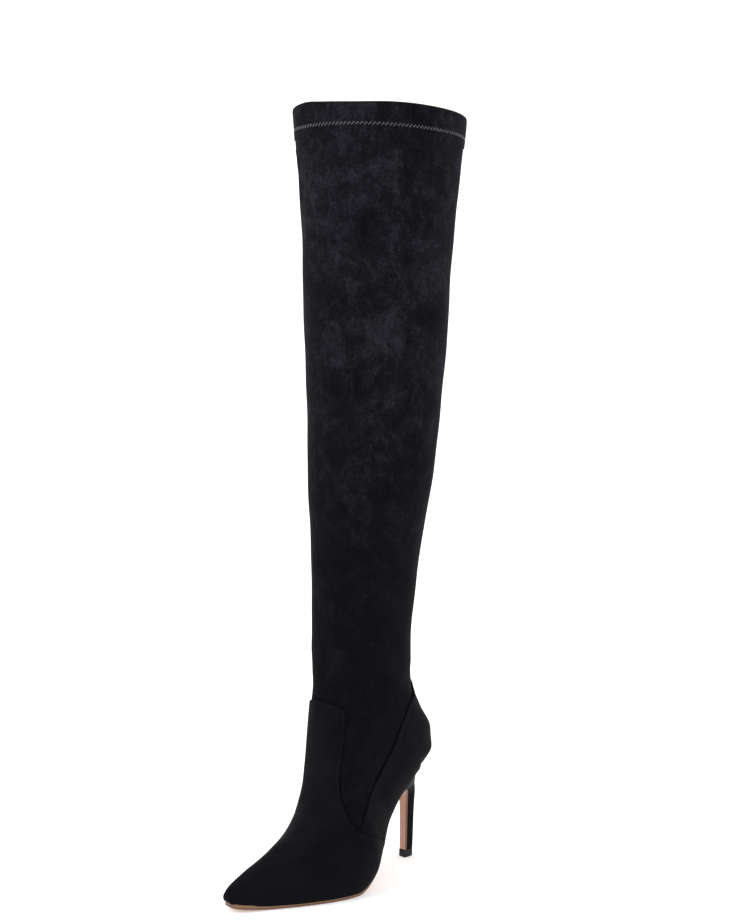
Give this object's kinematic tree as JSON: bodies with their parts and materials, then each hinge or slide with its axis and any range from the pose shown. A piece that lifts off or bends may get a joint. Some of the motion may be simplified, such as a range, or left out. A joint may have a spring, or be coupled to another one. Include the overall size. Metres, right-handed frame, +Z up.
{
  "type": "thigh high stiletto boot",
  "caption": "Thigh high pull-on boot with a stretch shaft, pointed toe, overlaid foot panels and a slim wrapped stiletto heel.",
  "frame": {"origin": "on the floor, under the middle of the boot's bounding box", "axes": "-Y towards the toe, +X towards the wearer's left, which is the outer side, +Z up the shaft"},
  "size_m": [0.1394, 0.2549, 0.673],
  "materials": {
    "stretch_suede": "black stretch suede with a cloudy nap",
    "foot_suede": "black suede, short smooth nap",
    "sole_tan": "tan sole, edge painted golden brown",
    "heel_wrap": "black wrap, slightly glossy",
    "top_piece_rubber": "matte dark rubber",
    "insole_board": "tan sock lining, matte"
  },
  "bodies": {
    "root": {"upper": "stretch_suede", "vamp": "foot_suede", "counter": "foot_suede", "outsole": "sole_tan", "heel": "heel_wrap", "top_piece": "top_piece_rubber", "insole": "insole_board"}
  },
  "joints": []
}
